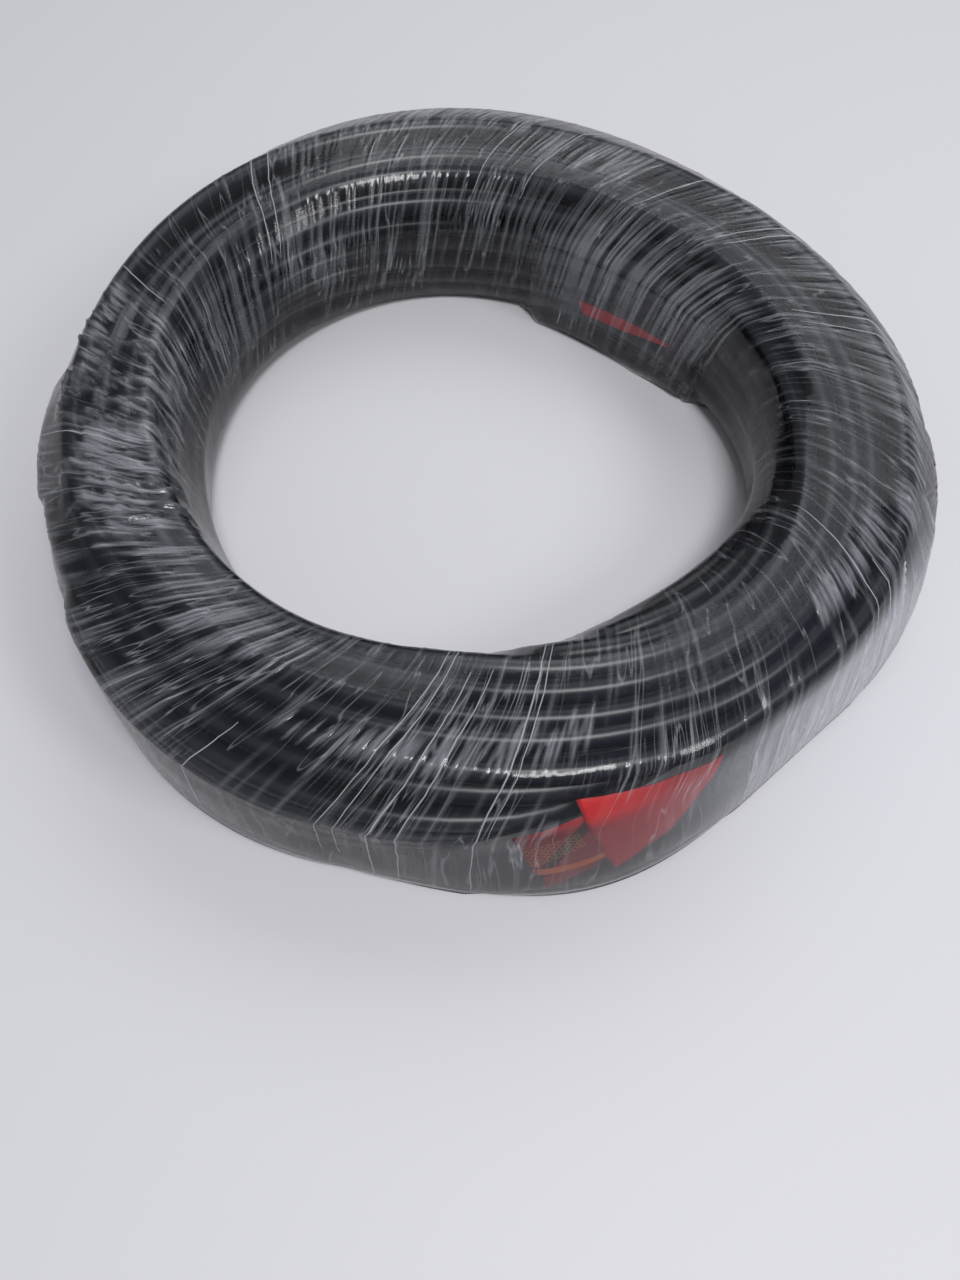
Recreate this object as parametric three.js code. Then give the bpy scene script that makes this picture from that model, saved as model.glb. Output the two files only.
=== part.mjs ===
// A coil of black network cable, wrapped in clear stretch film, with a folded red label card
// under the film on the outer wall and a red paper slip against the bore wall.
// Millimetres, +Z up. The coil lies flat on z = 0 with its bore along Z.
// Directions round the coil are degrees: 0 is +X (right), 90 is +Y (back), 270 is -Y (front).

import * as THREE from "three";

// Cable and coil
const CABLE_DIAMETER = 6.2;
const COIL_OUTER_RADIUS = 116.8;
const COIL_BORE_RADIUS = 75.6;
const COIL_HEIGHT = 43.6;
const COIL_CORNER_RADIUS = 15.1;
const TURN_CREST_ANGLE = 20;
const TURN_FLANK_ANGLE = 58;

// The coil is out of round. Each lobe is a wave round the coil: its count, size and one crest.
const OUTER_LOBES = [
  { count: 1, size: 1.2, crest: 121 },
  { count: 2, size: 1.8, crest: 93 },
  { count: 3, size: 2.6, crest: 118 },
];
const BORE_LOBES = [
  { count: 1, size: 1.8, crest: 163 },
  { count: 2, size: 2.0, crest: 156 },
  { count: 3, size: 1.3, crest: 118 },
];

// Stretch film
const FILM_THICKNESS = 0.4;
const FILM_CLEARANCE = 0.3;
const FILM_FOOT_ANGLE = 70;
const FILM_SKIRT_FULL = 2.5;

// Where the film bridges and stands off the turns: direction, half width in degrees, and size
const OUTER_STAND_OFFS = [
  { at: 302, halfWidth: 62, size: 5.5 },
  { at: 183, halfWidth: 16, size: 4 },
  { at: 88, halfWidth: 26, size: 3 },
];
const BORE_STAND_OFFS = [{ at: 50, halfWidth: 42, size: 4 }];

// Label card: a strip folded on itself, the printed leaf behind and the plain leaf in front.
// Each station is the foot and head of the leaf as direction and height.
const PAPER_THICKNESS = 0.3;
const LEAF_GAP = 0.3;
const PRINTED_LEAF = [
  { footAt: 277.0, footZ: 4.8, headAt: 273.0, headZ: 31.0 },
  { footAt: 283.4, footZ: 17.0, headAt: 280.0, headZ: 34.0 },
  { footAt: 290.5, footZ: 27.5, headAt: 288.5, headZ: 35.2 },
  { footAt: 296.5, footZ: 33.0, headAt: 297.5, headZ: 36.4 },
];
const PLAIN_LEAF = [
  { footAt: 296.5, footZ: 33.0, headAt: 297.5, headZ: 36.4 },
  { footAt: 291.0, footZ: 19.5, headAt: 289.0, headZ: 37.6 },
  { footAt: 284.4, footZ: 11.2, headAt: 280.0, headZ: 38.2 },
];

// Paper slip on the bore wall, tapering to a point
const SLIP = [
  { footAt: 60.0, footZ: 12.0, headAt: 61.5, headZ: 16.5 },
  { footAt: 47.0, footZ: 13.2, headAt: 47.0, headZ: 17.6 },
  { footAt: 33.5, footZ: 16.4, headAt: 33.5, headZ: 17.4 },
];

// Fineness of the meshes
const RING_STEPS = 60;
const CORNER_STEPS = 6;
const LEAF_STEPS = 5;
const LEAF_ROWS = 6;
const FOLD_STEPS = 4;

const radians = (degrees) => THREE.MathUtils.degToRad(degrees);

// Radius of an out-of-round circle in one direction
function lobedRadius(mean, lobes, direction) {
  let radius = mean;
  for (const lobe of lobes) {
    radius += lobe.size * Math.cos(lobe.count * radians(direction - lobe.crest));
  }
  return radius;
}

const outerRadius = (direction) => lobedRadius(COIL_OUTER_RADIUS, OUTER_LOBES, direction);
const boreRadius = (direction) => lobedRadius(COIL_BORE_RADIUS, BORE_LOBES, direction);

// Sections are drawn at the mean radii. This carries a radius of that section to one direction.
function spreadRadius(radius, direction) {
  const bore = boreRadius(direction);
  const spread = (outerRadius(direction) - bore) / (COIL_OUTER_RADIUS - COIL_BORE_RADIUS);
  return bore + (radius - COIL_BORE_RADIUS) * spread;
}

// How far the film stands off in one direction, as smooth bumps
function standOff(bumps, direction) {
  let total = 0;
  for (const bump of bumps) {
    const away = Math.abs(THREE.MathUtils.euclideanModulo(direction - bump.at + 180, 360) - 180);
    if (away < bump.halfWidth) {
      total += bump.size * 0.5 * (1 + Math.cos((Math.PI * away) / bump.halfWidth));
    }
  }
  return total;
}

// A stand-off is full at the floor and fades out at the top of the coil
const fade = (z) => Math.cos((Math.PI / 2) * THREE.MathUtils.clamp(z / COIL_HEIGHT, 0, 1));
const outerStandOff = (direction, z) => standOff(OUTER_STAND_OFFS, direction) * fade(z);
const boreStandOff = (direction, z) => standOff(BORE_STAND_OFFS, direction) * fade(z);

// One closed mesh from its corner points and triangles
function closedMesh(name, points, triangles, color, roughness) {
  const geometry = new THREE.BufferGeometry();
  geometry.setAttribute("position", new THREE.Float32BufferAttribute(points.flat(), 3));
  geometry.setIndex(triangles);
  geometry.computeVertexNormals();
  const mesh = new THREE.Mesh(geometry, new THREE.MeshStandardMaterial({ color, roughness, metalness: 0 }));
  mesh.name = name;
  return mesh;
}

// Two triangles for each four-sided cell of a grid of points
function gridTriangles(rows, columns, closeRows) {
  const triangles = [];
  const lastRow = closeRows ? rows : rows - 1;
  for (let row = 0; row < lastRow; row += 1) {
    for (let column = 0; column < columns; column += 1) {
      const next = (row + 1) % rows;
      const beside = (column + 1) % columns;
      const a = row * columns + column;
      const b = next * columns + column;
      const c = next * columns + beside;
      const d = row * columns + beside;
      triangles.push(a, b, c, a, c, d);
    }
  }
  return triangles;
}

// A ring whose closed section, a list of [radius, z] that runs anticlockwise, changes round the coil
function ringMesh(name, sectionAt, color, roughness) {
  const points = [];
  let columns = 0;
  for (let step = 0; step < RING_STEPS; step += 1) {
    const direction = (360 * step) / RING_STEPS;
    const section = sectionAt(direction);
    columns = section.length;
    for (const [radius, z] of section) {
      points.push([radius * Math.cos(radians(direction)), radius * Math.sin(radians(direction)), z]);
    }
  }
  const triangles = gridTriangles(RING_STEPS, columns, true);
  return closedMesh(name, points, triangles, color, roughness);
}

// Outline through the centres of the outermost turns, on a section of the mean radii
function turnCentrePath() {
  const inset = CABLE_DIAMETER / 2;
  const corner = COIL_CORNER_RADIUS - inset;
  const right = COIL_OUTER_RADIUS - COIL_CORNER_RADIUS;
  const left = COIL_BORE_RADIUS + COIL_CORNER_RADIUS;
  const top = COIL_HEIGHT - COIL_CORNER_RADIUS;
  const bottom = COIL_CORNER_RADIUS;
  const path = new THREE.Path();
  path.absarc(right, bottom, corner, -Math.PI / 2, 0, false);
  path.absarc(right, top, corner, 0, Math.PI / 2, false);
  path.absarc(left, top, corner, Math.PI / 2, Math.PI, false);
  path.absarc(left, bottom, corner, Math.PI, 1.5 * Math.PI, false);
  path.closePath();
  return path;
}

// Section of the wound turns: each outer turn shows as a rounded ridge with a flat crest
function turnSection() {
  const path = turnCentrePath();
  const turns = Math.round(path.getLength() / CABLE_DIAMETER);
  const ridgeRadius = CABLE_DIAMETER / 2 / Math.cos(radians(TURN_CREST_ANGLE));
  const angles = [-TURN_FLANK_ANGLE, -TURN_CREST_ANGLE, TURN_CREST_ANGLE, TURN_FLANK_ANGLE];
  const section = [];
  for (let turn = 0; turn < turns; turn += 1) {
    const centre = path.getPointAt(turn / turns);
    const tangent = path.getTangentAt(turn / turns);
    const outward = Math.atan2(-tangent.x, tangent.y);
    for (const angle of angles) {
      const way = outward + radians(angle);
      section.push([centre.x + ridgeRadius * Math.cos(way), centre.y + ridgeRadius * Math.sin(way)]);
    }
  }
  return section;
}

// The coil of cable, which stands on the flat crests of its lowest turns
function cableCoil() {
  const section = turnSection();
  const sectionAt = (direction) =>
    section.map(([radius, z]) => [
      spreadRadius(radius, direction),
      THREE.MathUtils.clamp(z, 0, COIL_HEIGHT),
    ]);
  return ringMesh("cable_coil", sectionAt, 0x1b1e24, 0.45);
}

// One side of the film, from its foot outside the coil over the top to its foot in the bore
function filmLine(direction, offset) {
  const corner = COIL_CORNER_RADIUS + offset;
  const right = COIL_OUTER_RADIUS - COIL_CORNER_RADIUS;
  const left = COIL_BORE_RADIUS + COIL_CORNER_RADIUS;
  const top = COIL_HEIGHT - COIL_CORNER_RADIUS;
  const bottom = COIL_CORNER_RADIUS;
  const skirt = Math.min(1, standOff(OUTER_STAND_OFFS, direction) / FILM_SKIRT_FULL);
  const boreSkirt = Math.min(1, standOff(BORE_STAND_OFFS, direction) / FILM_SKIRT_FULL);
  const line = [];
  const add = (centreRadius, centreZ, from, to, upright) => {
    for (let step = 0; step <= CORNER_STEPS; step += 1) {
      const normal = radians(from + ((to - from) * step) / CORNER_STEPS);
      const reach = Math.cos(normal) + (Math.sign(Math.cos(normal)) - Math.cos(normal)) * upright;
      const z = centreZ + corner * Math.sin(normal);
      const shift = Math.cos(normal) > 0 ? outerStandOff(direction, z) : -boreStandOff(direction, z);
      line.push([spreadRadius(centreRadius + corner * reach, direction) + shift, z]);
    }
  };
  add(right, bottom, -FILM_FOOT_ANGLE, -1, skirt);
  add(right, top, 0, 89, 0);
  add(left, top, 91, 180, 0);
  add(left, bottom, 181, 180 + FILM_FOOT_ANGLE, boreSkirt);
  return line;
}

// The film: a thin skin round the coil, open under it where the turns stand on the floor
function stretchFilm() {
  const sectionAt = (direction) => {
    const outside = filmLine(direction, FILM_CLEARANCE + FILM_THICKNESS);
    const inside = filmLine(direction, FILM_CLEARANCE);
    return [...outside, ...inside.reverse()];
  };
  return ringMesh("stretch_film", sectionAt, 0xb9bcc0, 0.2);
}

// Radius of the turns' outer wall, with the film's stand-off, which the label card lies against
function labelRadius(direction, z) {
  const above = Math.max(0, z - (COIL_HEIGHT - COIL_CORNER_RADIUS));
  const shoulder = Math.sqrt(COIL_CORNER_RADIUS ** 2 - above ** 2);
  const wall = COIL_OUTER_RADIUS - COIL_CORNER_RADIUS + shoulder;
  return spreadRadius(wall, direction) + outerStandOff(direction, z);
}

// Radius of the bore wall, with the film's stand-off, which the slip lies against
const slipRadius = (direction, z) => boreRadius(direction) - boreStandOff(direction, z);

// Stations between the chosen ones of a leaf
function leafStations(leaf, front, back) {
  const stations = [];
  for (let index = 0; index < leaf.length - 1; index += 1) {
    for (let step = 0; step < LEAF_STEPS; step += 1) {
      stations.push(stationBetween(leaf[index], leaf[index + 1], step / LEAF_STEPS, front, back));
    }
  }
  stations.push(stationBetween(leaf.at(-1), leaf.at(-1), 0, front, back));
  return stations;
}

function stationBetween(from, to, share, front, back) {
  const mix = (key) => THREE.MathUtils.lerp(from[key], to[key], share);
  return {
    foot: [mix("footAt"), mix("footZ")],
    head: [mix("headAt"), mix("headZ")],
    front: { depth: front, along: 0 },
    back: { depth: back, along: 0 },
  };
}

// Stations round the fold between the two leaves of the card
function foldStations(end, middle) {
  const stations = [];
  const inner = LEAF_GAP / 2;
  const outer = inner + PAPER_THICKNESS;
  for (let step = 1; step < FOLD_STEPS; step += 1) {
    const turn = (Math.PI * step) / FOLD_STEPS;
    stations.push({
      foot: [end.footAt, end.footZ],
      head: [end.headAt, end.headZ],
      front: { depth: middle + inner * Math.cos(turn), along: inner * Math.sin(turn) },
      back: { depth: middle + outer * Math.cos(turn), along: outer * Math.sin(turn) },
    });
  }
  return stations;
}

// A strip of paper through its stations: up its front, down its back, capped at both ends
function paperMesh(name, stations, radiusAt, towardAxis, color) {
  const points = [];
  const side = (station, face, share) => {
    const direction = THREE.MathUtils.lerp(station.foot[0], station.head[0], share);
    const z = THREE.MathUtils.lerp(station.foot[1], station.head[1], share);
    const radius = radiusAt(direction, z) - towardAxis * face.depth;
    const turned = radians(direction) + face.along / radius;
    return [radius * Math.cos(turned), radius * Math.sin(turned), z];
  };
  for (const station of stations) {
    for (let row = 0; row <= LEAF_ROWS; row += 1) {
      points.push(side(station, station.front, row / LEAF_ROWS));
    }
    for (let row = LEAF_ROWS; row >= 0; row -= 1) {
      points.push(side(station, station.back, row / LEAF_ROWS));
    }
  }
  const columns = 2 * (LEAF_ROWS + 1);
  const triangles = gridTriangles(stations.length, columns, false);
  const lastStation = (stations.length - 1) * columns;
  for (let row = 0; row < LEAF_ROWS; row += 1) {
    const across = columns - 1 - row;
    triangles.push(row, row + 1, across - 1, row, across - 1, across);
    triangles.push(lastStation + row, lastStation + across - 1, lastStation + row + 1);
    triangles.push(lastStation + row, lastStation + across, lastStation + across - 1);
  }
  return closedMesh(name, points, triangles, color, 0.6);
}

// The folded card: printed leaf, fold, plain leaf
function labelCard() {
  const printedFront = PAPER_THICKNESS + LEAF_GAP;
  const printedBack = printedFront + PAPER_THICKNESS;
  const middle = PAPER_THICKNESS + LEAF_GAP / 2;
  const stations = [
    ...leafStations(PRINTED_LEAF, printedFront, printedBack),
    ...foldStations(PRINTED_LEAF.at(-1), middle),
    ...leafStations(PLAIN_LEAF, PAPER_THICKNESS, 0),
  ];
  return paperMesh("label_card", stations, labelRadius, 1, 0xd8232f);
}

// The slip in the bore, between the turns and the film
function labelSlip() {
  const stations = leafStations(SLIP, 0, PAPER_THICKNESS);
  return paperMesh("label_slip", stations, slipRadius, -1, 0xd8232f);
}

const coil = new THREE.Group();
coil.add(cableCoil());
coil.add(stretchFilm());
coil.add(labelCard());
coil.add(labelSlip());

export default coil;
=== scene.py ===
"""Looks of the network cable coil: one wound cable, clear stretch film, a red card and a red slip.

Metres, +Z up. Directions round the coil are degrees: 0 is +X (right), 90 is +Y (back), 270 is -Y
(front). A section of the coil is drawn by radius and height, and its outline by a facing angle in
degrees: 0 faces outwards, 90 up and 180 into the bore.
"""
import math

import bmesh
import bpy
import numpy as np
from mathutils import Matrix, Vector


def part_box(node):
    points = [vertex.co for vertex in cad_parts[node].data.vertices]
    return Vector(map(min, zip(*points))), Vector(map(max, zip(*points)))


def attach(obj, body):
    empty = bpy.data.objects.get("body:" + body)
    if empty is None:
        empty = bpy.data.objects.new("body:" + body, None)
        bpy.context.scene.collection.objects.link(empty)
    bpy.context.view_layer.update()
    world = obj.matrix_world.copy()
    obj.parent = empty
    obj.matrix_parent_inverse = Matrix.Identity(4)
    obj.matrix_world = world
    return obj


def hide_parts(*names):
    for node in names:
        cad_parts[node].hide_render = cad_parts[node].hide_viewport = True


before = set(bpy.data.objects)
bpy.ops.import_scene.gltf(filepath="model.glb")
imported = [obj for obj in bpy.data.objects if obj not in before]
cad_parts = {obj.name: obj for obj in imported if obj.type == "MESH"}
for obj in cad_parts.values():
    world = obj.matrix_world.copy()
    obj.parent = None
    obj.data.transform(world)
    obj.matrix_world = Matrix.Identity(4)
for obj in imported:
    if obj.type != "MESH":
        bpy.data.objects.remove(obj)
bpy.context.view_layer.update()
MM = 0.001

# Camera, fitted to the coil's outline in the photo
CAMERA_DISTANCE = 0.300
CAMERA_ELEVATION = 52.7
AXIS_ELEVATION = 61.4
CAMERA_ROLL = -0.9
CAMERA_LENS = 28.1
CAMERA_SENSOR = 36.0

# Plan of the coil, out of round: mean radii, and waves of count, size and one crest
OUTER_RADIUS = 118.4 * MM
BORE_RADIUS = 74.2 * MM
OUTER_LOBES = ((1, 4.6 * MM, 100), (2, 2.0 * MM, 96), (3, 3.1 * MM, 114), (4, 0.8 * MM, 0))
BORE_LOBES = ((1, 2.3 * MM, 163), (2, 2.5 * MM, 156), (3, 1.6 * MM, 118))

# Section of the bundle: corner sizes, and smooth bumps of direction, half width and size
SHOULDER = 15 * MM
FOOT_CORNER = 10 * MM
SHOULDER_BUMPS = ((305, 45, -9 * MM), (235, 45, 6 * MM))
BORE_SHOULDER_BUMPS = ((285, 60, -6 * MM),)
UNDERCUT_BUMPS = ((308, 62, 14 * MM),)
OUTLINE_STEPS = 12

# Cable, wound from the middle of the bundle out: turns in each layer and the layer's depth
CABLE_RADIUS = 3.1 * MM
CABLE_SIDES = 12
LAYERS = ((7, 15.5 * MM), (13, 9.3 * MM), (21, CABLE_RADIUS))
LEAST_CORNER = 0.2 * MM
LEAST_FOOT = 1 * MM
STEPS_PER_TURN = 96
START_DIRECTION = 270.0
END_SHARE = 0.42
CROSSOVER_MIDDLE = 0.76
CROSSOVER_SHARE = 0.30
WANDER = 0.4 * MM
SINK = 2.6 * MM

# Film
FILM_COLUMNS = 1400
FILM_ROWS = 70
UNDER_ROWS = 5
FOOT_FACING = -52
BORE_FOOT_FACING = 232
FILM_GAP = 0.12 * MM
FILM_SLANT = 15.0
FLOOR_GAP = 0.02 * MM
HAZE_DISTANCE = 5 * MM
# Ridge heights at which the film is painted fully white: painted glints on creases and crumples, partly
# the film's own whitening
WHITE_GLINT_RIDGE = 0.35 * MM
WHITE_GLINT_CRUMPLE = 3.2 * MM
SUPPORT_NORMALS = 120

# Where the film stands off the turns, as smooth bumps, and the heights at which it is held out
OUTER_STAND_OFFS = ((281, 30, 8 * MM), (309, 40, 5.5 * MM), (338, 26, 7.5 * MM))
OUTER_STAND_OFFS += ((232, 42, 3.5 * MM), (183, 18, 4 * MM), (86, 30, 3 * MM))
BORE_STAND_OFFS = ((50, 42, 4 * MM),)
STAND_OFF_HEIGHTS = (0.2 * MM, 8 * MM, 16 * MM, 24 * MM, 32 * MM)
SKIRT_FULL = 2 * MM

# Cover of the film where it stands off: its own haze everywhere, and painted light on the skirt at the
# right, over the floor that lies in shade under the coil
STAND_OFF_HAZE = 0.04
SKIRT_PAINTED_LIGHT = 0.42
SKIRT_MIDDLE = 320.0
SKIRT_HALF_WIDTH = 36.0

# Room under the film for the folded card, by direction
CARD_ROOM = 1.2 * MM
CARD_MIDDLE = 284.5
CARD_HALF_WIDTH = 24.0

# Wrinkles: direction, half width, first and last facing angle, count, height, length in rows
WRINKLES = (
    (270, 15, 58, 84, 70, 0.40, (2, 5)),
    (255, 8, 60, 80, 16, 0.45, (2, 5)),
    (104, 22, 35, 75, 90, 0.45, (4, 12)),
    (70, 12, 60, 110, 50, 0.40, (5, 14)),
    (168, 9, 62, 84, 32, 0.45, (2, 5)),
    (170, 12, 95, 160, 36, 0.55, (2, 9)),
    (198, 12, 70, 125, 50, 0.60, (2, 9)),
    (225, 16, 80, 130, 45, 0.50, (4, 12)),
    (215, 25, 5, 55, 60, 0.25, (5, 16)),
    (20, 26, 15, 75, 130, 0.35, (6, 20)),
    (348, 7, 40, 60, 24, 0.50, (3, 6)),
    (328, 10, 55, 80, 40, 0.45, (3, 6)),
    (336, 26, -45, 25, 90, 0.35, (10, 25)),
    (95, 60, 110, 190, 120, 0.22, (10, 26)),
    (35, 22, 120, 200, 90, 0.40, (8, 24)),
    (0, 180, -40, 200, 260, 0.16, (6, 24)),
)

# Crumpled patch: first and last direction, first and last facing angle, cells, ridge height
CRUMPLE = (158, 212, 50, 150, 42, 1.6 * MM)
RIDGE_WIDTH = 0.9 * MM

# Long folds: direction at the outer end, first and last facing angle, half width in mm
FILM_FOLDS = (
    (252, -20, 150, 0.16), (254, -20, 150, 0.16), (257.5, -45, 120, 0.2), (260.5, -45, 118, 0.2),
    (268.5, -45, 160, 0.22), (270, 20, 160, 0.16), (236, -30, 60, 0.2), (118, 20, 150, 0.2),
    (121, 20, 150, 0.2), (76, 30, 140, 0.16), (66, 20, 140, 0.16), (44, 10, 120, 0.2),
    (26, 0, 110, 0.2), (28, 0, 110, 0.2), (6, 10, 110, 0.18), (3, 10, 110, 0.16),
    (150, 10, 110, 0.2), (182, 0, 100, 0.2), (322, 20, 120, 0.16), (325, -45, 60, 0.2),
)

# The label card and the slip: foot and head of each station as direction and height in mm
PRINTED_LEAF = ((277, 4.8, 273, 31), (283.4, 17, 280, 34), (290.5, 27.5, 288.5, 35.2))
PRINTED_LEAF += ((296.5, 33, 297.5, 36.4),)
PLAIN_LEAF = ((284.4, 11.2, 280, 38.2), (291, 19.5, 289, 37.6), (296.5, 33, 297.5, 36.4))
SLIP = ((60, 12, 61.5, 16.5), (47, 13.2, 47, 17.6), (33.5, 16.4, 33.5, 17.4))
PAPER_THICKNESS = 0.25 * MM
LEAF_COLUMNS = 25
LEAF_ROWS = 13
CREASE_DEPTH = 0.3 * MM

rng = np.random.default_rng(11)


def smooth_step(x):
    """Zero below 0, one above 1, smooth between."""
    x = np.clip(x, 0.0, 1.0)
    return x * x * (3 - 2 * x)


def bump(directions, middle, half_width):
    """One at the middle direction, falling smoothly to zero half_width degrees away."""
    away = np.abs((directions - middle + 180) % 360 - 180)
    return 0.5 * (1 + np.cos(np.pi * np.minimum(away / half_width, 1)))


def bump_size(bumps, directions):
    """Sum of smooth bumps in the given directions."""
    return sum(size * bump(directions, middle, half_width) for middle, half_width, size in bumps)


def lobed(mean, lobes, directions):
    """Radius of an out-of-round circle in the given directions."""
    radius = mean
    for count, size, crest in lobes:
        radius = radius + size * np.cos(count * np.radians(directions - crest))
    return radius


COIL_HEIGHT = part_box("cable_coil")[1].z


# Making meshes


def make_mesh(name, points, faces, material, uv=None, fields=None):
    """A smooth mesh from arrays of points and of faces of one size, riding on the coil."""
    points = np.asarray(points, dtype=np.float32)
    faces = np.asarray(faces, dtype=np.int32)
    sides = faces.shape[1]
    mesh = bpy.data.meshes.new(name)
    mesh.vertices.add(len(points))
    mesh.vertices.foreach_set("co", points.ravel())
    mesh.loops.add(faces.size)
    mesh.loops.foreach_set("vertex_index", faces.ravel())
    mesh.polygons.add(len(faces))
    mesh.polygons.foreach_set("loop_start", np.arange(len(faces), dtype=np.int32) * sides)
    mesh.update(calc_edges=True)
    mesh.polygons.foreach_set("use_smooth", np.ones(len(faces), dtype=bool))
    if uv is not None:
        layer = mesh.uv_layers.new(name="UVMap")
        layer.data.foreach_set("uv", np.asarray(uv, dtype=np.float32)[faces.ravel()].ravel())
    for field, values in (fields or {}).items():
        attribute = mesh.attributes.new(field, "FLOAT", "POINT")
        attribute.data.foreach_set("value", np.asarray(values, dtype=np.float32))
    piece = bpy.data.objects.new(name, mesh)
    bpy.context.scene.collection.objects.link(piece)
    piece.data.materials.append(material)
    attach(piece, "root")
    return piece


def grid_faces(rows, columns, close_rows=False, close_columns=False):
    """Four-sided faces of a grid of points, row after row."""
    row = np.arange(rows if close_rows else rows - 1)
    column = np.arange(columns if close_columns else columns - 1)
    row, column = np.meshgrid(row, column, indexing="ij")
    next_row = (row + 1) % rows
    next_column = (column + 1) % columns
    corners = [row * columns + column, next_row * columns + column]
    corners += [next_row * columns + next_column, row * columns + next_column]
    return np.stack(corners, axis=-1).reshape(-1, 4)


def tube(line, radius, sides):
    """Points and faces of a round tube along a line."""
    line = np.asarray(line)
    ahead = np.gradient(line, axis=0)
    ahead /= np.linalg.norm(ahead, axis=1, keepdims=True)
    centre = line * (1, 1, 0)
    beside = np.cross(ahead, centre / np.linalg.norm(centre, axis=1, keepdims=True) + (0, 0, 0.3))
    beside /= np.linalg.norm(beside, axis=1, keepdims=True)
    above = np.cross(beside, ahead)
    turn = np.arange(sides) * 2 * np.pi / sides
    spread = np.multiply.outer(np.cos(turn), beside) + np.multiply.outer(np.sin(turn), above)
    radius = np.broadcast_to(radius, len(line))[None, :, None]
    points = (line[None] + radius * spread).transpose(1, 0, 2).reshape(-1, 3)
    return points, grid_faces(len(line), sides, close_columns=True)


def in_space(directions, radius, z):
    """Points from direction in degrees, radius and height."""
    turn = np.radians(directions)
    return np.stack([radius * np.cos(turn), radius * np.sin(turn), z + 0 * turn], axis=-1)


# The cable


def corner_discs(directions, depth):
    """Corner discs of the section, drawn in by a depth: arrays of radius, height and size."""
    def size_of(plain, bumps=()):
        return np.maximum(plain + bump_size(bumps, directions), depth + LEAST_CORNER)

    outer = lobed(OUTER_RADIUS, OUTER_LOBES, directions)
    bore = lobed(BORE_RADIUS, BORE_LOBES, directions)
    shoulder = size_of(SHOULDER, SHOULDER_BUMPS)
    bore_shoulder = size_of(SHOULDER, BORE_SHOULDER_BUMPS)
    foot = size_of(FOOT_CORNER)
    bore_foot = bore + foot
    outer_foot = np.maximum(outer - bump_size(UNDERCUT_BUMPS, directions) - foot, bore_foot + LEAST_FOOT)
    return [
        (outer_foot, foot, foot - depth),
        (outer - shoulder, COIL_HEIGHT - shoulder, shoulder - depth),
        (bore + bore_shoulder, COIL_HEIGHT - bore_shoulder, bore_shoulder - depth),
        (bore_foot, foot, foot - depth),
    ]


def run_normal(start, end):
    """Which way the outline faces on its straight run from one disc to the next, in radians."""
    rise = end[1] - start[1]
    reach = end[0] - start[0]
    share = np.clip((start[2] - end[2]) / np.hypot(rise, reach), -1, 1)
    return np.arctan2(rise, reach) - np.arccos(share)


def outline(directions, depth):
    """Radius and height of the points round the section's outline, drawn in by a depth."""
    discs = corner_discs(directions, depth)
    radii = []
    heights = []
    for index, disc in enumerate(discs):
        first = run_normal(discs[index - 1], disc)
        last = run_normal(disc, discs[(index + 1) % len(discs)])
        sweep = (last - first) % (2 * np.pi)
        for step in range(OUTLINE_STEPS + 1):
            normal = first + sweep * step / OUTLINE_STEPS
            radii.append(disc[0] + disc[2] * np.cos(normal))
            heights.append(disc[1] + disc[2] * np.sin(normal))
    radii.append(radii[0])
    heights.append(heights[0])
    return np.array(radii), np.array(heights)


def on_outline(directions, depth, share):
    """Radius and height at a share of the way round each direction's outline."""
    radii, heights = outline(directions, depth)
    legs = np.hypot(np.diff(radii, axis=0), np.diff(heights, axis=0))
    way = np.vstack([np.zeros(len(directions)), np.cumsum(legs, axis=0)])
    way /= way[-1]
    radius = np.empty(len(directions))
    height = np.empty(len(directions))
    for index in range(len(directions)):
        radius[index] = np.interp(share[index] % 1, way[:, index], radii[:, index])
        height[index] = np.interp(share[index] % 1, way[:, index], heights[:, index])
    return radius, height


def wandering(count, step_share):
    """A smooth random wander along the cable, from -1 to 1."""
    knots = rng.uniform(-1, 1, int(count * step_share) + 3)
    values = np.interp(np.arange(count) * step_share, np.arange(len(knots)), knots)
    kernel = np.hanning(int(1 / step_share) | 1)
    return np.convolve(values, kernel / kernel.sum(), mode="same")


def wind_cable():
    """Radius and height of the cable's centre at every step of the winding."""
    turns = sum(layer[0] for layer in LAYERS)
    count = int((turns - END_SHARE) * STEPS_PER_TURN) + 1
    turn, step = np.divmod(np.arange(count), STEPS_PER_TURN)
    crossing = smooth_step((step / STEPS_PER_TURN - CROSSOVER_MIDDLE) / CROSSOVER_SHARE + 0.5)
    directions = START_DIRECTION + step * 360 / STEPS_PER_TURN
    radius = np.zeros(count)
    height = np.zeros(count)
    sink = SINK * smooth_step(0.5 + 1.1 * wandering(count, 0.03))
    first = 0
    for turns_here, depth in LAYERS:
        for offset in (0, 1):
            inside = (turn + offset >= first) & (turn + offset < first + turns_here)
            weight = (crossing if offset else 1 - crossing)[inside]
            share = (turn[inside] + crossing[inside] - first) / turns_here
            share = np.clip(share, 0, (turns_here - 0.5) / turns_here)
            here_radius, here_height = on_outline(directions[inside], depth + sink[inside], share)
            radius[inside] += weight * here_radius
            height[inside] += weight * here_height
        first += turns_here
    radius += WANDER * wandering(count, 0.09)
    height += WANDER * wandering(count, 0.09)
    return radius, np.clip(height, CABLE_RADIUS, COIL_HEIGHT - CABLE_RADIUS)


def make_cable(radius, height):
    """The one wound cable, in place of the CAD ring."""
    directions = START_DIRECTION + np.arange(len(radius)) * 360 / STEPS_PER_TURN
    line = in_space(directions, radius, height)
    points, faces = tube(line, CABLE_RADIUS, CABLE_SIDES)
    cable = make_mesh("network_cable", points, faces, jacket_material())
    shape = bmesh.new()
    shape.from_mesh(cable.data)
    shape.verts.ensure_lookup_table()
    shape.faces.new(shape.verts[:CABLE_SIDES])
    shape.faces.new(reversed(shape.verts[-CABLE_SIDES:]))
    shape.to_mesh(cable.data)
    shape.free()
    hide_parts("cable_coil")


# The film


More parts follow.
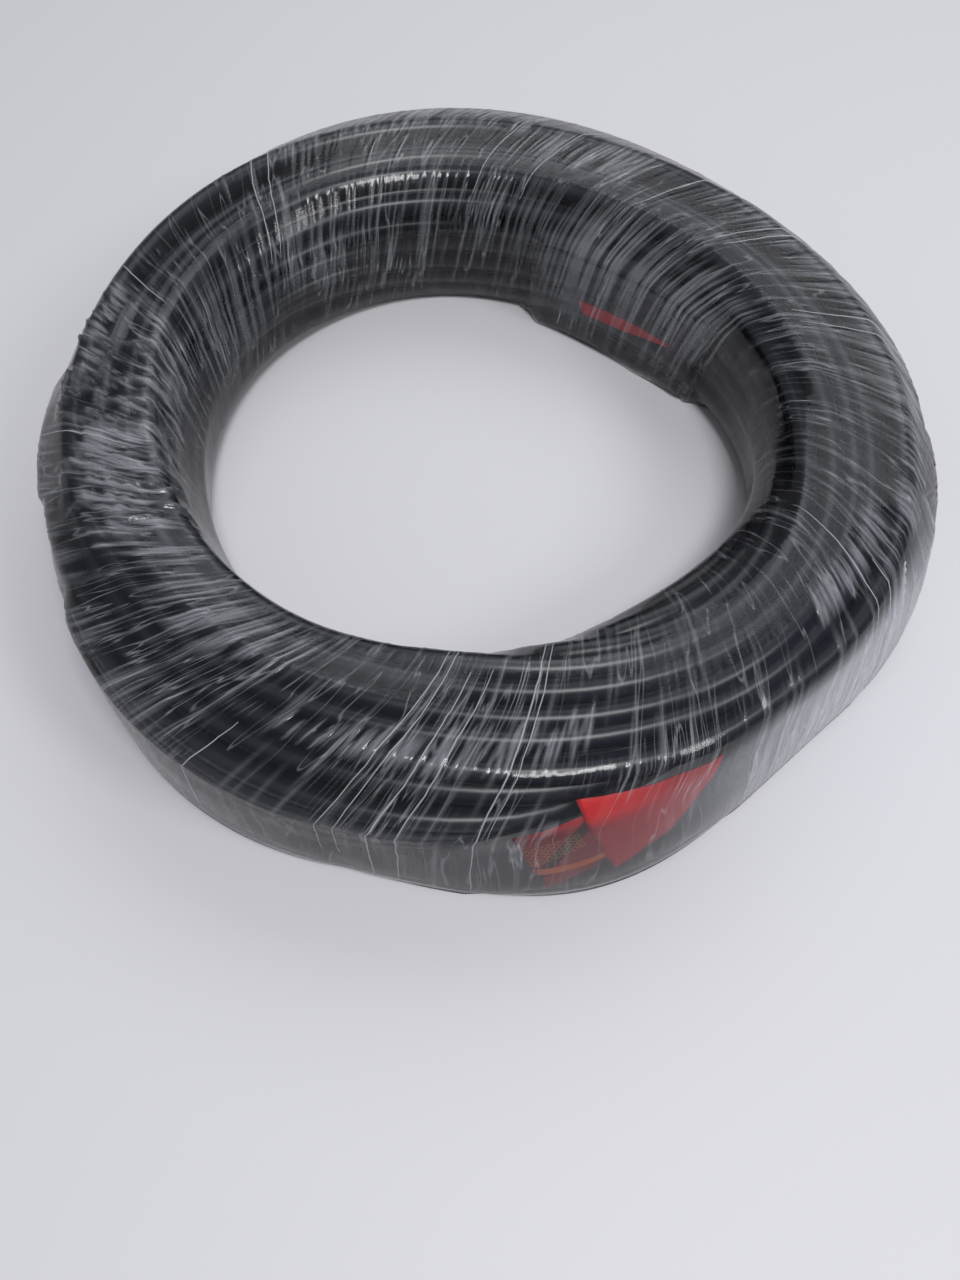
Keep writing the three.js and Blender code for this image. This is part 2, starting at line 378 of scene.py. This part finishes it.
def turns_at(directions, radius, height):
    """Radius and height of every turn in each direction, with nan where a turn has ended."""
    first = ((directions - START_DIRECTION) % 360) / 360 * STEPS_PER_TURN
    index = first[None, :] + np.arange(math.ceil(len(radius) / STEPS_PER_TURN))[:, None] * STEPS_PER_TURN
    inside = index <= len(radius) - 1
    known = np.arange(len(radius))
    r = np.where(inside, np.interp(index, known, radius), np.nan)
    h = np.where(inside, np.interp(index, known, height), np.nan)
    return r, h


def film_tents(directions):
    """Radius and height of the points that hold the film off the turns, in each direction."""
    points = []
    for bumps, wall, side in (
        (OUTER_STAND_OFFS, lobed(OUTER_RADIUS, OUTER_LOBES, directions), 1),
        (BORE_STAND_OFFS, lobed(BORE_RADIUS, BORE_LOBES, directions), -1),
    ):
        off = bump_size(bumps, directions)
        missing = (1 - smooth_step(off / SKIRT_FULL)) * FOOT_CORNER
        for z in STAND_OFF_HEIGHTS:
            fade = math.cos(math.pi / 2 * z / COIL_HEIGHT)
            points.append((wall + side * (off * fade - missing), z))
    return points


def film_hull(directions, radius, height):
    """Reach of the taut film from the section's middle in every row, and how far it is held off
    the turns."""
    r, h = turns_at(directions, radius, height)
    tents = film_tents(directions)
    outer = lobed(OUTER_RADIUS, OUTER_LOBES, directions)
    middle_r = (outer + lobed(BORE_RADIUS, BORE_LOBES, directions)) / 2
    middle_h = COIL_HEIGHT / 2
    card_room = CARD_ROOM * smooth_step(1.6 * bump(directions, CARD_MIDDLE, CARD_HALF_WIDTH))
    facing = np.radians(row_facing())
    hull = np.full((len(directions), FILM_ROWS), np.inf)
    taut = np.full_like(hull, np.inf)
    for normal in np.arange(SUPPORT_NORMALS) * 2 * np.pi / SUPPORT_NORMALS:
        ca, sa = math.cos(normal), math.sin(normal)
        room = FILM_GAP + card_room * math.sqrt(max(ca, 0))
        turns = np.nanmax(r * ca + h * sa, axis=0) + CABLE_RADIUS + room
        held = np.max([tent_r * ca + tent_z * sa for tent_r, tent_z in tents], axis=0)
        lean = np.cos(normal - facing)
        ahead = lean > 0.02
        for reach, support in ((taut, turns), (hull, np.maximum(turns, held))):
            support = (support - middle_r * ca - middle_h * sa)[:, None] / lean[None, ahead]
            reach[:, ahead] = np.minimum(reach[:, ahead], support)
    return hull, hull - taut, middle_r


def row_facing():
    """Facing angle of each row of the film: close rows where it shows, few under the coil."""
    shown = np.linspace(FOOT_FACING, BORE_FOOT_FACING, FILM_ROWS - UNDER_ROWS)
    under = np.linspace(BORE_FOOT_FACING, FOOT_FACING + 360, UNDER_ROWS + 2)[1:-1]
    return np.concatenate([shown, under])


def row_lean():
    """How far each row leans along the coil, as a share of the film's slant."""
    knots = (FOOT_FACING, 20, 150, BORE_FOOT_FACING, FOOT_FACING + 360)
    leans = (-0.5, -0.5, 0.5, 0.9, -0.5)
    return np.interp(row_facing(), knots, leans)


def crumple_field(skin):
    """Ridges along the edges of random flat cells, where the film is crumpled."""
    first, last, low, high, cells, size = CRUMPLE
    columns = np.arange(int(first / 360 * FILM_COLUMNS), int(last / 360 * FILM_COLUMNS))
    facing = row_facing()
    rows = np.flatnonzero((facing >= low) & (facing <= high))
    patch = skin[np.ix_(columns, rows)]
    flat = patch.reshape(-1, 3)
    seeds = flat[rng.choice(len(flat), cells, replace=False)]
    away = np.linalg.norm(flat[:, None] - seeds[None], axis=2)
    away.partition(1, axis=1)
    edge = (away[:, 1] - away[:, 0]).reshape(patch.shape[:2])
    across = np.sin(np.pi * np.linspace(0, 1, len(columns)))[:, None]
    fade = smooth_step(3 * across * np.sin(np.pi * np.linspace(0, 1, len(rows))))
    field = np.zeros(skin.shape[:2])
    field[np.ix_(columns, rows)] = size * fade * np.exp(-edge / RIDGE_WIDTH)
    return field


def crease_field():
    """Narrow ridges that run over the film's rows, in bunches round the coil."""
    facing = row_facing()
    field = np.zeros((FILM_COLUMNS, FILM_ROWS))
    for middle, half_width, low, high, count, size, lengths in WRINKLES:
        rows = np.flatnonzero((facing >= low) & (facing <= high))
        for _ in range(count):
            place = (middle + half_width * rng.uniform(-1, 1)) / 360 * FILM_COLUMNS
            width = rng.uniform(0.6, 1.3)
            length = int(rng.uniform(*lengths))
            first = int(rng.integers(rows[0], max(rows[0] + 1, rows[-1] + 2 - length)))
            covered = np.arange(first, min(first + length, FILM_ROWS - UNDER_ROWS))
            slide = place + rng.uniform(-0.25, 0.25) * (covered - first)
            along = np.sin(np.pi * (covered - first + 0.7) / (length + 0.4)).clip(0, 1)
            strength = size * rng.uniform(0.5, 1)
            for offset in range(-3, 4):
                columns = np.floor(slide).astype(int) + offset
                profile = np.exp(-(((columns - slide) / width) ** 2))
                spot = (columns % FILM_COLUMNS, covered)
                field[spot] = np.maximum(field[spot], strength * profile * along)
    return field * MM


def make_film(radius, height):
    """The stretch film as one wrinkled skin round the bundle, in place of the CAD skin."""
    directions = np.arange(FILM_COLUMNS) * 360 / FILM_COLUMNS
    hull, held_off, middle_r = film_hull(directions, radius, height)
    lean = row_lean() * FILM_SLANT
    facing = np.radians(row_facing())

    def skin_with(field):
        """Points of the skin raised by a field."""
        points = np.empty((FILM_COLUMNS, FILM_ROWS, 3))
        for row, angle in enumerate(facing):
            at = directions + lean[row]
            reach = np.interp(at, directions, hull[:, row], period=360) + field[:, row]
            section_r = np.interp(at, directions, middle_r, period=360) + reach * math.cos(angle)
            z = np.maximum(COIL_HEIGHT / 2 + reach * math.sin(angle), FLOOR_GAP)
            points[:, row] = in_space(at, section_r, z)
        return points

    crumples = crumple_field(skin_with(np.zeros((FILM_COLUMNS, FILM_ROWS))))
    creases = crease_field()
    field = np.maximum(crumples, creases)
    points = skin_with(field)
    haze_and_painted_light = np.empty((FILM_COLUMNS, FILM_ROWS))
    for row in range(FILM_ROWS):
        gap = np.interp(directions + lean[row], directions, held_off[:, row], period=360)
        # painted light on the skirt at the right, lifting the shade of the floor behind it
        skirt_painted_light = SKIRT_PAINTED_LIGHT * bump(directions + lean[row], SKIRT_MIDDLE, SKIRT_HALF_WIDTH)
        haze_and_painted_light[:, row] = smooth_step(gap / HAZE_DISTANCE) * (STAND_OFF_HAZE + skirt_painted_light)
    # white cover on creases and crumples: painted glints, partly the film's own whitening
    crease = np.clip(creases / WHITE_GLINT_RIDGE + crumples / WHITE_GLINT_CRUMPLE, 0, 1)
    column, row = np.meshgrid(np.arange(FILM_COLUMNS), np.arange(FILM_ROWS), indexing="ij")
    uv = np.stack([column.ravel() / FILM_COLUMNS, row.ravel() / FILM_ROWS], axis=1)
    faces = grid_faces(FILM_COLUMNS, FILM_ROWS, close_rows=True, close_columns=True)
    fields = {"haze_and_painted_light": haze_and_painted_light.ravel(), "crease": crease.ravel()}
    film = make_mesh("film_wrap", points.reshape(-1, 3), faces, film_material(), uv, fields)
    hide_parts("stretch_film")
    return points


def make_film_folds(skin):
    """Long folds and edges of the film as fine strands that lie on its skin."""
    facing = row_facing()
    lean = row_lean() * FILM_SLANT
    points = []
    faces = []
    total = 0
    for direction, low, high, half_width in FILM_FOLDS:
        rows = np.flatnonzero((facing >= low) & (facing <= high))
        outer_lean = np.interp(0, facing[:-UNDER_ROWS], lean[:-UNDER_ROWS])
        column = (direction - outer_lean) / 360 * FILM_COLUMNS
        column = column + np.cumsum(rng.normal(0, 0.25, len(rows)))
        base = np.floor(column).astype(int)
        share = (column - base)[:, None]
        line = skin[base % FILM_COLUMNS, rows] * (1 - share)
        line = line + skin[(base + 1) % FILM_COLUMNS, rows] * share
        taper = np.sin(np.pi * np.linspace(0.04, 0.96, len(rows))) ** 0.4
        strand, strand_faces = tube(line, half_width * MM * taper, 5)
        points.append(strand)
        faces.append(strand_faces + total)
        total += len(strand)
    edges = make_mesh("film_folds", np.concatenate(points), np.concatenate(faces), fold_material())


def film_radius(skin, directions, z, inside):
    """Radius of the film at the given directions and heights, on its outer or bore wall."""
    facing = row_facing()
    wall = np.flatnonzero((facing > 100) & (facing < 231)) if inside else np.flatnonzero(facing < 80)
    ring = np.degrees(np.arctan2(skin[:, wall, 1], skin[:, wall, 0])) % 360
    reach = np.hypot(skin[:, wall, 0], skin[:, wall, 1])
    at_row = np.empty((len(wall), len(directions)))
    height = np.empty_like(at_row)
    for row in range(len(wall)):
        order = np.argsort(ring[:, row])
        at_row[row] = np.interp(directions, ring[order, row], reach[order, row], period=360)
        height[row] = np.interp(directions, ring[order, row], skin[order, wall[row], 2], period=360)
    found = np.empty(len(directions))
    for index in range(len(directions)):
        order = np.argsort(height[:, index])
        found[index] = np.interp(z[index], height[order, index], at_row[order, index])
    return found


def make_leaf(name, stations, depth, skin, inside, material, crease=0.0):
    """A leaf of paper through its stations, under the film, with a front, a back and edges."""
    table = np.array(stations, dtype=float)
    share = np.linspace(0, 1, LEAF_COLUMNS)
    known = np.linspace(0, 1, len(table))
    foot_at, foot_z, head_at, head_z = (np.interp(share, known, table[:, k]) for k in range(4))
    up = np.linspace(0, 1, LEAF_ROWS)
    at = (foot_at[:, None] * (1 - up) + head_at[:, None] * up).ravel()
    z = (foot_z[:, None] * (1 - up) + head_z[:, None] * up).ravel() * MM
    along, across = (grid.ravel() for grid in np.meshgrid(share, up, indexing="ij"))
    film = film_radius(skin, at, z, inside)
    ridge = crease * np.maximum(0, 1 - np.abs(along - 0.28 - 0.4 * across) / 0.16)
    sign = 1 if inside else -1
    front = in_space(at, film + sign * (depth + ridge), z)
    back = in_space(at, film + sign * (depth + PAPER_THICKNESS + ridge), z)
    faces = grid_faces(LEAF_COLUMNS, LEAF_ROWS)
    count = len(front)
    rim = list(range(LEAF_ROWS))
    rim += [column * LEAF_ROWS + LEAF_ROWS - 1 for column in range(1, LEAF_COLUMNS)]
    rim += [(LEAF_COLUMNS - 1) * LEAF_ROWS + row for row in range(LEAF_ROWS - 2, -1, -1)]
    rim += [column * LEAF_ROWS for column in range(LEAF_COLUMNS - 2, 0, -1)]
    rim = np.array(rim)
    after = np.roll(rim, -1)
    edge = np.stack([rim, after, after + count, rim + count], axis=1)
    whole = np.concatenate([faces, faces[:, ::-1] + count, edge])
    uv = np.tile(np.stack([along, across], axis=1), (2, 1))
    return make_mesh(name, np.concatenate([front, back]), whole, material, uv)


def make_papers(skin):
    """The folded card on the outer wall and the slip on the bore wall."""
    red = paper_material("red_paper", (0.72, 0.014, 0.02))
    printed = make_leaf("printed_leaf", PRINTED_LEAF, 0.7 * MM, skin, False, print_material())
    plain = make_leaf("plain_leaf", PLAIN_LEAF, 0.2 * MM, skin, False, red, CREASE_DEPTH)
    slip = make_leaf("paper_slip", SLIP, 0.4 * MM, skin, True, red)
    for leaf in (printed, plain):
        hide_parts("label_card")
    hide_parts("label_slip")


# Materials


def new_material(name):
    """A node material with its node tree emptied, and its output."""
    material = bpy.data.materials.new(name)
    material.use_nodes = True
    tree = material.node_tree
    tree.nodes.clear()
    return material, tree, tree.nodes.new("ShaderNodeOutputMaterial")


def node(tree, kind, **values):
    """A node with some of its inputs or properties set."""
    made = tree.nodes.new(kind)
    for name, value in values.items():
        if name in made.inputs:
            made.inputs[name].default_value = value
        else:
            setattr(made, name, value)
    return made


def maths(tree, operation, first, second=0.0, clamp=False):
    """A Math node of two inputs, each a number or a socket."""
    made = tree.nodes.new("ShaderNodeMath")
    made.operation = operation
    made.use_clamp = clamp
    for socket, value in zip(made.inputs, (first, second)):
        if isinstance(value, (int, float)):
            socket.default_value = value
        else:
            tree.links.new(value, socket)
    return made.outputs[0]


def streaks(tree, across, along, thinness, detail=2.0):
    """Fine lines over the film's width, thin contours of a drawn-out noise."""
    place = node(tree, "ShaderNodeUVMap", uv_map="UVMap")
    stretch = node(tree, "ShaderNodeMapping")
    stretch.inputs["Scale"].default_value = (across, along, 1)
    noise = node(tree, "ShaderNodeTexNoise", Scale=1.0, Detail=detail, Roughness=0.5)
    tree.links.new(place.outputs["UV"], stretch.inputs["Vector"])
    tree.links.new(stretch.outputs["Vector"], noise.inputs["Vector"])
    away = maths(tree, "ABSOLUTE", maths(tree, "SUBTRACT", noise.outputs["Fac"], 0.5))
    line = maths(tree, "SUBTRACT", 1.0, maths(tree, "MULTIPLY", away, thinness), clamp=True)
    return line, noise.outputs["Fac"]


def jacket_material():
    """Satin black cable jacket with a faint grain."""
    material, tree, output = new_material("cable_jacket")
    skin = node(tree, "ShaderNodeBsdfPrincipled")
    skin.inputs["Roughness"].default_value = 0.33
    skin.inputs["Base Color"].default_value = (0.008, 0.011, 0.021, 1)
    grain = node(tree, "ShaderNodeTexNoise", Scale=900.0, Detail=3.0)
    relief = node(tree, "ShaderNodeBump", Strength=0.05, Distance=0.0002)
    tree.links.new(grain.outputs["Fac"], relief.inputs["Height"])
    tree.links.new(relief.outputs["Normal"], skin.inputs["Normal"])
    tree.links.new(skin.outputs["BSDF"], output.inputs["Surface"])
    return material


def film_material():
    """Clear glossy film, whiter where it stands off the turns, with painted light on the skirt at the
    right and painted glints on creases, crumples and streak lines, partly the film's own whitening.
    """
    material, tree, output = new_material("clear_film")
    haze_and_painted_light = node(tree, "ShaderNodeAttribute", attribute_name="haze_and_painted_light")
    crease = node(tree, "ShaderNodeAttribute", attribute_name="crease")
    # fine white streak lines: the film's stretch lines, painted as highlights that reflect the bright
    # room
    fine, fine_noise = streaks(tree, 260, 3.0, 46.0)
    broad, broad_noise = streaks(tree, 90, 2.0, 110.0)
    patches = node(tree, "ShaderNodeTexNoise", Scale=38.0, Detail=2.0)
    where = node(tree, "ShaderNodeTexCoord")
    tree.links.new(where.outputs["Object"], patches.inputs["Vector"])
    bunch = node(tree, "ShaderNodeMapRange")
    bunch.inputs["From Min"].default_value = 0.45
    bunch.inputs["From Max"].default_value = 0.65
    tree.links.new(patches.outputs["Fac"], bunch.inputs["Value"])
    lines = maths(tree, "MULTIPLY", fine, bunch.outputs["Result"])
    lines = maths(tree, "MULTIPLY", lines, 0.26)
    lines = maths(tree, "ADD", lines, maths(tree, "MULTIPLY", broad, 0.16))
    # the film's own haze where it stands off, plus painted light on the skirt at the right
    cover = maths(tree, "ADD", haze_and_painted_light.outputs["Fac"], 0.003)
    # creases and crumples painted white: painted glints, partly the film's own whitening
    cover = maths(tree, "ADD", cover, maths(tree, "MULTIPLY", crease.outputs["Fac"], 0.27))
    cover = maths(tree, "ADD", cover, lines, clamp=True)
    clear = node(tree, "ShaderNodeBsdfTransparent")
    body = node(tree, "ShaderNodeBsdfPrincipled")
    body.inputs["Base Color"].default_value = (0.73, 0.76, 0.83, 1)
    body.inputs["Roughness"].default_value = 0.28
    skin = node(tree, "ShaderNodeMixShader")
    tree.links.new(cover, skin.inputs["Fac"])
    tree.links.new(clear.outputs["BSDF"], skin.inputs[1])
    tree.links.new(body.outputs["BSDF"], skin.inputs[2])
    shine = node(tree, "ShaderNodeBsdfAnisotropic", Roughness=0.12)
    rim = node(tree, "ShaderNodeFresnel", IOR=1.42)
    relief = node(tree, "ShaderNodeBump", Strength=0.3, Distance=0.0004)
    height = maths(tree, "ADD", fine_noise, maths(tree, "MULTIPLY", broad_noise, 1.5))
    tree.links.new(height, relief.inputs["Height"])
    for made in (shine, rim, body):
        tree.links.new(relief.outputs["Normal"], made.inputs["Normal"])
    whole = node(tree, "ShaderNodeMixShader")
    tree.links.new(rim.outputs["Fac"], whole.inputs["Fac"])
    tree.links.new(skin.outputs["Shader"], whole.inputs[1])
    tree.links.new(shine.outputs["BSDF"], whole.inputs[2])
    tree.links.new(whole.outputs["Shader"], output.inputs["Surface"])
    return material


def fold_material():
    """Gathered film, whiter than the single skin."""
    material, tree, output = new_material("film_fold")
    skin = node(tree, "ShaderNodeBsdfPrincipled")
    skin.inputs["Base Color"].default_value = (0.75, 0.77, 0.82, 1)
    skin.inputs["Roughness"].default_value = 0.25
    skin.inputs["Alpha"].default_value = 0.38
    tree.links.new(skin.outputs["BSDF"], output.inputs["Surface"])
    return material


def paper_material(name, colour, roughness=0.45):
    """A plain coated surface."""
    material, tree, output = new_material(name)
    skin = node(tree, "ShaderNodeBsdfPrincipled")
    skin.inputs["Base Color"].default_value = (*colour, 1)
    skin.inputs["Roughness"].default_value = roughness
    tree.links.new(skin.outputs["BSDF"], output.inputs["Surface"])
    return material


def mix_colour(tree, share, first, second):
    """Colour between two, each a colour or a socket."""
    made = tree.nodes.new("ShaderNodeMix")
    made.data_type = "RGBA"
    tree.links.new(share, made.inputs["Factor"])
    for socket, value in ((made.inputs["A"], first), (made.inputs["B"], second)):
        if isinstance(value, tuple):
            socket.default_value = (*value, 1)
        else:
            tree.links.new(value, socket)
    return made.outputs["Result"]


def print_material():
    """Generic print: deep red with a dark stripe, an orange band and rows of small gold bars."""
    material, tree, output = new_material("red_card_print")
    place = node(tree, "ShaderNodeUVMap", uv_map="UVMap")
    parts = node(tree, "ShaderNodeSeparateXYZ")
    tree.links.new(place.outputs["UV"], parts.inputs["Vector"])
    u, v = parts.outputs["X"], parts.outputs["Y"]
    slope = maths(tree, "SUBTRACT", v, maths(tree, "MULTIPLY", u, 1.6))
    above = maths(tree, "GREATER_THAN", slope, 0.2)
    stripe = maths(tree, "MULTIPLY", above, maths(tree, "LESS_THAN", slope, 0.38))
    fall = maths(tree, "ADD", v, maths(tree, "MULTIPLY", u, 0.9))
    above = maths(tree, "GREATER_THAN", fall, 0.34)
    band = maths(tree, "MULTIPLY", above, maths(tree, "LESS_THAN", fall, 0.46))
    bars = node(tree, "ShaderNodeTexBrick", Scale=1.0)
    bars.offset = 0.37
    bars.inputs["Mortar Size"].default_value = 0.35
    bars.inputs["Mortar Smooth"].default_value = 0.0
    bars.inputs["Brick Width"].default_value = 2.6
    bars.inputs["Row Height"].default_value = 1.0
    grid = node(tree, "ShaderNodeMapping")
    grid.inputs["Scale"].default_value = (60, 30, 1)
    tree.links.new(place.outputs["UV"], grid.inputs["Vector"])
    tree.links.new(grid.outputs["Vector"], bars.inputs["Vector"])
    above = maths(tree, "GREATER_THAN", v, 0.5)
    block = maths(tree, "MULTIPLY", above, maths(tree, "LESS_THAN", v, 0.8))
    block = maths(tree, "MULTIPLY", block, maths(tree, "LESS_THAN", u, 0.3))
    ink = maths(tree, "MULTIPLY", block, maths(tree, "SUBTRACT", 1.0, bars.outputs["Fac"]))
    colour = mix_colour(tree, stripe, (0.42, 0.01, 0.014), (0.08, 0.008, 0.012))
    colour = mix_colour(tree, band, colour, (0.9, 0.2, 0.03))
    colour = mix_colour(tree, ink, colour, (0.85, 0.42, 0.08))
    skin = node(tree, "ShaderNodeBsdfPrincipled")
    skin.inputs["Roughness"].default_value = 0.35
    tree.links.new(colour, skin.inputs["Base Color"])
    tree.links.new(skin.outputs["BSDF"], output.inputs["Surface"])
    return material


# Stage


def make_camera():
    """The photo's camera: its place looks at the coil's middle, and its axis dips a little more."""
    data = bpy.data.cameras.new("camera")
    data.lens = CAMERA_LENS
    data.sensor_width = CAMERA_SENSOR
    data.clip_start = 0.01
    camera = bpy.data.objects.new("camera", data)
    bpy.context.scene.collection.objects.link(camera)
    bpy.context.scene.camera = camera
    place = math.radians(CAMERA_ELEVATION)
    axis = math.radians(AXIS_ELEVATION)
    roll = math.radians(CAMERA_ROLL)
    back = np.array([0, -math.cos(axis), math.sin(axis)])
    right = np.array([1.0, 0, 0])
    up = np.cross(back, right)
    turned_right = right * math.cos(roll) + up * math.sin(roll)
    turned_up = up * math.cos(roll) - right * math.sin(roll)
    where = CAMERA_DISTANCE * np.array([0, -math.cos(place), math.sin(place)])
    turned = Matrix(np.stack([turned_right, turned_up, back], axis=1).tolist()).to_4x4()
    camera.matrix_world = Matrix.Translation(where) @ turned


def make_floor():
    """A plain pale floor."""
    bpy.ops.mesh.primitive_plane_add(size=6, location=(0, 0, -0.0001))
    floor = bpy.context.object
    floor.name = "floor"
    floor.data.materials.append(paper_material("floor", (0.72, 0.715, 0.755), 0.55))


def make_light(name, place, size, power, colour=(1, 1, 1)):
    """A soft area light that faces the coil."""
    data = bpy.data.lights.new(name, "AREA")
    data.shape = "RECTANGLE"
    data.size, data.size_y = size
    data.energy = power
    data.color = colour
    light = bpy.data.objects.new(name, data)
    bpy.context.scene.collection.objects.link(light)
    light.location = place
    light.rotation_euler = Vector(place).to_track_quat("Z", "Y").to_euler()


def make_lights():
    """Soft daylight from behind, and a pale room all round."""
    world = bpy.data.worlds.new("room")
    bpy.context.scene.world = world
    world.use_nodes = True
    room = world.node_tree.nodes["Background"]
    room.inputs["Color"].default_value = (0.93, 0.94, 1.0, 1)
    room.inputs["Strength"].default_value = 0.28
    make_light("window", (0.3, 0.85, 1.05), (1.3, 0.8), 4.5, (0.96, 0.98, 1.0))
    make_light("ceiling", (0.2, -0.45, 1.3), (0.5, 0.3), 8.5)
    make_light("lamp", (0.9, -0.5, 0.95), (0.3, 0.4), 3.5)
    bpy.context.scene.view_settings.view_transform = "Standard"


make_camera()
make_floor()
make_lights()
cable_radii, cable_heights = wind_cable()
make_cable(cable_radii, cable_heights)
film_skin = make_film(cable_radii, cable_heights)
make_film_folds(film_skin)
make_papers(film_skin)
